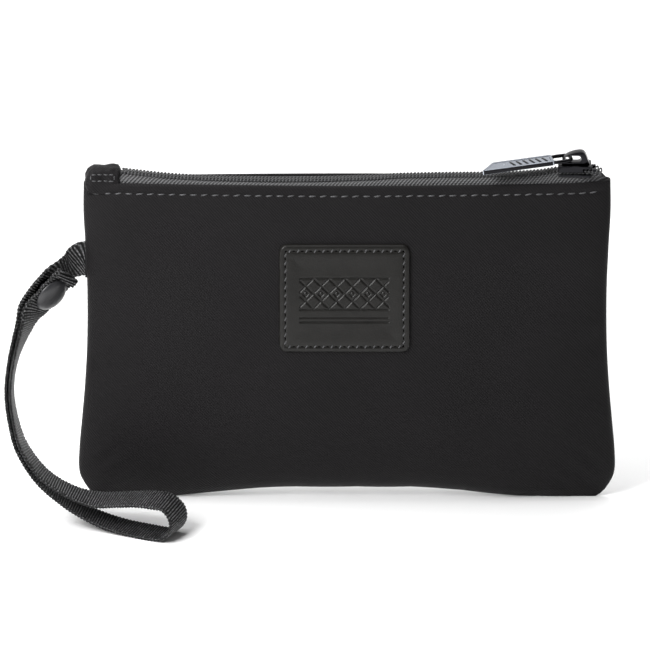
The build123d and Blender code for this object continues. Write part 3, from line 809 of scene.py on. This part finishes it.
# The raised bars and the ring take the dark nickel; the ring's dark stands in for the shade inside the
# slider's arch.
for face in pull.faces[plain_faces:]:
    face.material_index = 1
bmesh.ops.transform(pull, verts=pull.verts, matrix=Matrix.Translation(PULL_PIVOT) @ Matrix(
    (PULL_ALONG, PULL_ACROSS, PULL_UP)).transposed().to_4x4())
for face in pull.faces:
    face.smooth = face.calc_area() < 2 * MM * MM
pull_piece = make_piece("pull_plate", pull, pull_metal)
pull_piece.data.set_sharp_from_angle(angle=math.radians(40))
pull_piece.data.materials.append(dark_nickel)
# The pull's sides and underside take the dark nickel as painted shade, against the painted reflection on its
# top.
for face in pull_piece.data.polygons:
    if abs(face.normal.dot(PULL_UP)) < 0.4 and face.area > 1.5 * MM * MM or face.normal.dot(PULL_UP) < -0.4:
        face.material_index = 1
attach(pull_piece, "pull")
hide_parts("pull_tab")


# ---------------------------------------------------------------- leather patch
# A thick leather patch with rounded corners is sewn on the front. Its middle is embossed with a
# plain border pattern of crossing lines over two straight lines.

PATCH_MIDDLE = Vector((-1.0, 0, 88.4)) * MM
PATCH_HALF = Vector((26.2, 0, 22.3)) * MM
PATCH_THICK = 1.5 * MM
PATCH_CORNER = 3.2 * MM
PATCH_SEAM = 2.6 * MM
BAND_HALF = 17.8
BAND_Z = 2.2
BAND_HIGH = 6.2
LINE_HALF = 0.42
LOZENGE = 6.2

leather, leather_tree, leather_shader = finish("patch_leather", (0.012, 0.0116, 0.011), 0.34,
                                               Specular_IOR_Level=0.24)
leather_places = places_on(leather_tree, "Object")
pores = new_node(leather_tree, "TexVoronoi", {"Scale": 1500})
leather_tree.links.new(leather_places, pores.inputs["Vector"])
grain = new_node(leather_tree, "TexNoise", {"Scale": 260, "Detail": 8})
leather_tree.links.new(leather_places, grain.inputs["Vector"])
pore_bump = bump_from(leather_tree, leather_shader, pores.outputs["Distance"],
                      {"Strength": 0.5, "Distance": 0.06 * MM})
bump_from(leather_tree, leather_shader, grain.outputs["Fac"],
          {"Strength": 0.4, "Distance": 0.15 * MM}, under=pore_bump)
tint_between(leather_tree, leather_shader, grain.outputs["Fac"],
             (0.0050, 0.0047, 0.0042), (0.0115, 0.0108, 0.0098))


def groove(distance, half_wide):
    """A pressed line with sloping walls: 1 in the middle of it, 0 outside."""
    return float(ease(1 - abs(distance) / half_wide))


def embossing(x, z):
    """How deep the stamp pressed the leather here, from 0 to 1; x and z are in mm from the middle."""
    pressed = 0.0
    if abs(x) < BAND_HALF and abs(z - BAND_Z) < BAND_HIGH:
        for lean in (-1, 1):
            turn = (x + lean * (z - BAND_Z)) / LOZENGE
            pressed = max(pressed, groove((turn - round(turn)) * LOZENGE / 1.41, LINE_HALF))
        turn = x / LOZENGE + 0.5
        diamond = abs((turn - round(turn)) * LOZENGE) + abs(z - BAND_Z)
        pressed = max(pressed, groove(diamond - 1.1, LINE_HALF))
    ends = ease((BAND_HALF + 0.3 - abs(x)) / 0.4)
    for line_z in (BAND_Z - BAND_HIGH - 0.2, BAND_Z + BAND_HIGH + 0.2, -7.6, -9.4):
        pressed = max(pressed, groove(z - line_z, LINE_HALF) * ends)
    return pressed


def patch_place(u, v):
    """A point of the square grid moved on to the rounded outline, in metres from the middle."""
    x, z = u * PATCH_HALF.x, v * PATCH_HALF.z
    over_x = abs(x) - (PATCH_HALF.x - PATCH_CORNER)
    over_z = abs(z) - (PATCH_HALF.z - PATCH_CORNER)
    inward = min(PATCH_HALF.x - abs(x), PATCH_HALF.z - abs(z))
    if over_x > 0 and over_z > 0:
        a, b = over_x / PATCH_CORNER, over_z / PATCH_CORNER
        a, b = a * math.sqrt(1 - b * b / 2), b * math.sqrt(1 - a * a / 2)
        x = math.copysign(PATCH_HALF.x - PATCH_CORNER * (1 - a), x)
        z = math.copysign(PATCH_HALF.z - PATCH_CORNER * (1 - b), z)
        inward = PATCH_CORNER * (1 - math.hypot(a, b))
    return x, z, inward


patch_mesh = bmesh.new()
bmesh.ops.create_grid(patch_mesh, x_segments=190, y_segments=166, size=1)
for vert in patch_mesh.verts:
    u = math.copysign(1 - (1 - abs(vert.co.x)) ** 1.04, vert.co.x)
    v = math.copysign(1 - (1 - abs(vert.co.y)) ** 1.04, vert.co.y)
    x, z, inward = patch_place(u, v)
    spot = Vector((PATCH_MIDDLE.x + x, -0.1, PATCH_MIDDLE.z + z))
    under = shell["front"].ray_cast(spot, Vector((0, 1, 0)))[0].y
    round_in = min(inward / (1.0 * MM), 1)
    high = PATCH_THICK * (math.sqrt(max(1 - (1 - round_in) ** 2, 0)) * 1.12 - 0.12)
    high += 0.22 * MM * ease(inward / (5 * MM)) * (1 - ease((inward - 3 * MM) / (12 * MM)))
    high -= 0.28 * MM * groove(inward - PATCH_SEAM, 0.8 * MM)
    field = ease(inward / (6 * MM) - 0.6)
    high -= 0.12 * MM * field + 0.55 * MM * embossing(x / MM, z / MM)
    vert.co = (spot.x, under - high, spot.z)
for face in patch_mesh.faces:
    face.smooth = True
bmesh.ops.recalc_face_normals(patch_mesh, faces=patch_mesh.faces)
if sum(face.normal.y for face in patch_mesh.faces) > 0:
    bmesh.ops.reverse_faces(patch_mesh, faces=patch_mesh.faces)
patch = make_piece("patch_leather", patch_mesh, leather)
patch_tree = BVHTree.FromObject(patch, bpy.context.evaluated_depsgraph_get())
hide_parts("label_patch")
follow_mouth(patch, "front")

# The patch's own seam: short slanting stitches between the needle holes, each hole a flat near-black disc
# that is painted shade for the inside of the hole.
HOLE_R = 0.62 * MM
HOLE_FLAT = 0.10
STITCHES_ALONG = 14
STITCHES_UP = 12
SLANT = Vector((math.cos(math.radians(58)), 0, math.sin(math.radians(58))))
OUTWARD = Vector((0, -1, 0))


def on_patch(x, z):
    """The point of the leather there, with x and z from the patch's middle."""
    return patch_tree.ray_cast(PATCH_MIDDLE + Vector((x, -0.1, z)), Vector((0, 1, 0)))[0]


hole_painted_shade, _, _ = finish("needle_hole_painted_shade", (0.0006, 0.0006, 0.0006), 0.9, Specular_IOR_Level=0.0)
seam = bmesh.new()
seam_x = PATCH_HALF.x - PATCH_SEAM
seam_z = PATCH_HALF.z - PATCH_SEAM
stitch_spots = []
for level in (seam_z, -seam_z):
    for step in range(STITCHES_ALONG):
        stitch_x = seam_x * (2 * (step + 0.5) / STITCHES_ALONG - 1)
        stitch_spots.append((stitch_x, level, seam_x / STITCHES_ALONG, 0))
for reach_x in (-seam_x, seam_x):
    for step in range(STITCHES_UP):
        stitch_z = seam_z * (2 * (step + 0.5) / STITCHES_UP - 1)
        stitch_spots.append((reach_x, stitch_z, 0, seam_z / STITCHES_UP))
for x, z, half_x, half_z in stitch_spots:
    add_stitch(seam, on_patch(x, z) + OUTWARD * 0.16 * MM, SLANT, OUTWARD, 2.0 * MM, 0.30 * MM)
    middle = on_patch(x + half_x, z + half_z)
    # Each needle hole is a squashed near-black bead: painted shade where the hole is.
    hole = add_stitch(seam, middle, Vector((1, 0, 0)), OUTWARD, 2 * HOLE_R, HOLE_R)
    for vert in hole:
        vert.co.y = middle.y + (vert.co.y - middle.y) * HOLE_FLAT
        for face in vert.link_faces:
            face.material_index = 1
for face in seam.faces:
    face.smooth = True
patch_thread = make_piece("patch_thread", seam, thread_black)
patch_thread.data.materials.append(hole_painted_shade)
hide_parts("label_stitching")
follow_mouth(patch_thread, "front")


# ---------------------------------------------------------------- wrist strap
# The strap is one length of ribbed nylon webbing, sewn into the left side seam. It hangs down,
# doubles back on itself near the floor and returns to the snap, where its end is turned under.

WEB_HALF = 7.5
WEB_THICK = 1.15
RIB_PITCH = 1.05
RIB_HIGH = 0.36
RIB_LEAN = 0.8
EDGE_WIDE = 0.9
WEB_STEP = 0.23
FACE_STEPS = 16
SNAP_AT = Vector((-121.1, -4.5, 90.7))
SNAP_OUT = Vector((0.608, -0.689, -0.395)).normalized()
SNAP_UP = Vector((0.671, 0.173, 0.721))
SNAP_UP = (SNAP_UP - SNAP_OUT * SNAP_UP.dot(SNAP_OUT)).normalized()
SNAP_ACROSS = SNAP_UP.cross(SNAP_OUT)
SNAP_STACK = 4.2
FLAP_BELOW = 9.5
FLAP_ABOVE = 10.5
# Each row: a point of the lower run, its direction across, and the gap to the run above it.
STRAP_RUN = (
    (-103.5, 0.0, 101.2, 0.0, 0.0, -1.0, 0.0),
    (-105.7, 0.0, 100.9, 0.0, 0.08, -1.0, 0.0),
    (-110.3, -0.5, 98.6, 0.25, 0.5, -0.83, 0.0),
    (-114.4, -2.8, 96.6, 0.40, 0.68, -0.61, 0.0),
    (*(SNAP_AT + SNAP_UP * 6), *SNAP_ACROSS, 0.0),
    (*(SNAP_AT - SNAP_UP * FLAP_BELOW + SNAP_OUT * 1.3), *SNAP_ACROSS, SNAP_STACK - 1.3),
    (-129.7, -9.0, 76.9, 0.30, 0.90, -0.30, 2.5),
    (-134.4, -12.2, 62.6, 0.12, 0.98, -0.10, 2.0),
    (-135.8, -15.4, 49.4, 0.05, 1.0, 0.0, 1.8),
    (-133.3, -19.6, 35.2, 0.05, 1.0, 0.0, 1.8),
    (-129.4, -23.6, 26.6, 0.06, 1.0, 0.0, 1.8),
    (-122.0, -27.6, 17.2, 0.08, 1.0, 0.0, 2.4),
    (-112.0, -30.6, 9.6, 0.10, 0.99, 0.0, 4.2),
    (-101.9, -33.6, 4.4, 0.12, 0.99, 0.0, 7.2),
    (-91.6, -37.0, 1.5, 0.20, 0.98, 0.0, 11.2),
    (-81.6, -41.6, 0.80, 0.30, 0.95, 0.0, 13.6),
    (-73.6, -45.4, 0.80, 0.33, 0.94, 0.0, 14.0),
)
RETURN_TILT = 0.10

# Stations down the lower run, round the end of the loop, and back up to the snap.
lower = []
for index, row in enumerate(STRAP_RUN):
    behind = Vector(STRAP_RUN[max(index - 1, 0)][:3])
    ahead = Vector(STRAP_RUN[min(index + 1, len(STRAP_RUN) - 1)][:3])
    along = (ahead - behind).normalized()
    across = Vector(row[3:6])
    across = (across - along * across.dot(along)).normalized()
    if across.dot(Vector(STRAP_RUN[max(index - 1, 0)][3:6])) < 0:
        across = -across
    lower.append((Vector(row[:3]), along, across, row[6]))
stations = [(middle, across) for middle, along, across, gap in lower]
last_middle, last_along, last_across, last_gap = lower[-1]
last_up = last_along.cross(last_across) * (1 if last_along.cross(last_across).z > 0 else -1)
for degrees in range(30, 180, 30):
    angle = math.radians(degrees)
    turn_r = last_gap / 2
    middle = last_middle + last_up * turn_r * (1 - math.cos(angle)) + last_along * turn_r * math.sin(angle)
    stations.append((middle, last_across))
for middle, along, across, gap in reversed(lower):
    if gap:
        out = along.cross(across)
        out = out if out.dot(last_up if gap > 5 else SNAP_OUT) > 0 else -out
        tilted = (across + Vector((0, 0, RETURN_TILT if gap > 5 else 0))).normalized()
        stations.append((middle + out * gap, tilted))
for above in (-2.0, 5.0, FLAP_ABOVE - 0.7):
    stations.append((SNAP_AT + SNAP_OUT * SNAP_STACK + SNAP_UP * above, SNAP_ACROSS))
tip = SNAP_AT + SNAP_OUT * (SNAP_STACK + 0.62) + SNAP_UP * FLAP_ABOVE
stations.append((tip, SNAP_ACROSS))
for above in (FLAP_ABOVE - 0.7, FLAP_ABOVE - 3.4):
    stations.append((SNAP_AT + SNAP_OUT * (SNAP_STACK + 1.24) + SNAP_UP * above, SNAP_ACROSS))

knots = np.array([(*middle, *across) for middle, across in stations])
spans = np.linalg.norm(np.diff(knots[:, :3], axis=0), axis=1)
marks = np.concatenate([[0], np.cumsum(spans)])
track = np.column_stack([marks, knots])
web_marks = list(np.arange(0, marks[-1], WEB_STEP))
web_samples = [along_table(track, mark) for mark in web_marks]


def web_section(mark):
    """The outline of the webbing across its width at that place: (across, height, swell)."""
    rib = mark / RIB_PITCH
    outline = []
    for face in (1, -1):
        for step in range(FACE_STEPS + 1):
            across = face * (1 - 2 * step / FACE_STEPS) * WEB_HALF
            swell = 0.5 + 0.5 * math.cos(2 * math.pi * (rib + face * across / WEB_HALF * RIB_LEAN))
            if abs(across) > WEB_HALF - EDGE_WIDE:
                swell = 0.5 + 0.5 * math.cos(2 * math.pi * (rib * 0.75 + 0.3 * face))
            round_off = math.sqrt(max(1 - (abs(across) / 7.75) ** 14, 0))
            middle_dip = 0.10 * math.exp(-((across / 0.5) ** 2))
            high = WEB_THICK / 2 * round_off * 0.62 + RIB_HIGH * swell - middle_dip
            outline.append((across, face * high, swell))
    return outline


def webbing_run(name, first, last):
    """A length of webbing between two samples, closed at both ends."""
    chosen = range(first, last)
    place = np.zeros((len(chosen), 2 * FACE_STEPS + 3, 3))
    uv = {}
    for row, index in enumerate(chosen):
        middle = Vector(web_samples[index][:3])
        behind = Vector(web_samples[max(index - 2, 0)][:3])
        ahead = Vector(web_samples[min(index + 2, len(web_samples) - 1)][:3])
        along = (ahead - behind).normalized()
        across = Vector(web_samples[index][3:6])
        across = (across - along * across.dot(along)).normalized()
        up = along.cross(across)
        outline = web_section(web_marks[index])
        outline.append(outline[0])
        for column, (v, h, swell) in enumerate(outline):
            place[row, column] = (middle + across * v + up * h) * MM
            # The UV's first coordinate carries the rib's swell, which the webbing material turns into painted
            # highlight on the crests and painted shade between them.
            uv[(row, column)] = (swell, v * MM)
    run = sheet_from_grid(name, place, uv)
    bmesh.ops.remove_doubles(run, verts=run.verts, dist=1e-7)
    bmesh.ops.holes_fill(run, edges=[edge for edge in run.edges if edge.is_boundary], sides=0)
    bmesh.ops.recalc_face_normals(run, faces=run.faces)
    return run


# The ribs' crests are painted light as painted highlight, and the gaps between them are painted near-black as
# painted shade.
web_nylon_painted_light, web_tree, web_shader = finish("web_nylon_painted_light", (0.02, 0.02, 0.021), 0.45, Specular_IOR_Level=0.2)
web_parts = new_node(web_tree, "SeparateXYZ")
web_tree.links.new(places_on(web_tree, "UV"), web_parts.inputs["Vector"])
web_fibres = new_node(web_tree, "TexNoise", {"Scale": 1100, "Detail": 3})
web_tree.links.new(places_on(web_tree, "Object"), web_fibres.inputs["Vector"])
web_crest_highlight = new_node(web_tree, "MapRange", {"From Min": 0.26, "From Max": 0.60})
web_tree.links.new(combine(web_tree, "MULTIPLY", web_parts.outputs["X"], web_fibres.outputs["Fac"]),
                   web_crest_highlight.inputs["Value"])
tint_between(web_tree, web_shader, web_crest_highlight.outputs["Result"],
             (0.0012, 0.0012, 0.0013), (0.175, 0.175, 0.180))
bump_from(web_tree, web_shader, web_fibres.outputs["Fac"], {"Strength": 0.6, "Distance": 0.08 * MM})
split_at = int(np.searchsorted(web_marks, marks[6]))
lower_web = make_piece("strap_web", webbing_run("lower", 0, split_at + 1), web_nylon_painted_light)
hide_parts("strap_webbing")
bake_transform(lower_web)

upper_web = make_piece("strap_end_web", webbing_run("upper", split_at, len(web_samples)), web_nylon_painted_light)
peel_line = (SNAP_AT + SNAP_OUT * SNAP_STACK - SNAP_UP * FLAP_BELOW) * MM
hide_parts("strap_flap")
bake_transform(upper_web)


def flap_share(places):
    """The end of the webbing peels up from a short bend just below the snap."""
    away = places - np.array(peel_line)
    rise = away @ np.array(SNAP_UP) / (3 * MM)
    near = np.abs(away @ np.array(SNAP_OUT)) < 3.2 * MM
    return ease((rise + 1) / 2) * (near & (np.linalg.norm(away, axis=1) < 24 * MM))


set_bend(upper_web, flap_share)
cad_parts["strap_anchor"].data.materials.clear()
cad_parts["strap_anchor"].data.materials.append(web_nylon_painted_light)


# ---------------------------------------------------------------- snap
# A press stud holds the strap's end: a stud riveted through the lower webbing, a socket through
# the end of the strap, and a satin black cap over the socket.

CAP_PROFILE = ((0.0, 2.75), (2.4, 2.70), (4.4, 2.45), (5.8, 1.95), (6.7, 1.25), (7.15, 0.65), (7.3, 0.30),
               (7.15, 0.05), (6.6, 0.0), (0.0, 0.0))

cap_black, cap_tree, cap_shader = finish("satin_black_cap", (0.020, 0.020, 0.022), 0.34)
vary_roughness(cap_tree, cap_shader, {"Scale": 500}, 0.28, 0.42, places_on(cap_tree, "Object"))

cap_mesh = bmesh.new()
cap_line = [cap_mesh.verts.new((r * MM, 0, h * MM)) for r, h in CAP_PROFILE]
cap_edges = [cap_mesh.edges.new(pair) for pair in zip(cap_line, cap_line[1:])]
bmesh.ops.spin(cap_mesh, geom=cap_line + cap_edges, cent=(0, 0, 0), axis=(0, 0, 1), angle=2 * math.pi,
               steps=48, use_merge=True)
bmesh.ops.remove_doubles(cap_mesh, verts=cap_mesh.verts, dist=1e-6)
bmesh.ops.recalc_face_normals(cap_mesh, faces=cap_mesh.faces)
cap_seat = (SNAP_AT + SNAP_OUT * (SNAP_STACK + 0.7)) * MM
bmesh.ops.transform(cap_mesh, verts=cap_mesh.verts, matrix=Matrix.Translation(cap_seat) @ Matrix(
    (SNAP_UP, SNAP_OUT.cross(SNAP_UP), SNAP_OUT)).transposed().to_4x4())
for face in cap_mesh.faces:
    face.smooth = True
cap = make_piece("snap_cap_dome", cap_mesh, cap_black)
cap.data.set_sharp_from_angle(angle=math.radians(60))
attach(cap, "flap")
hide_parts("snap_cap")
for node in ("snap_stud", "snap_post", "snap_socket"):
    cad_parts[node].data.materials.clear()
    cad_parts[node].data.materials.append(dark_nickel)
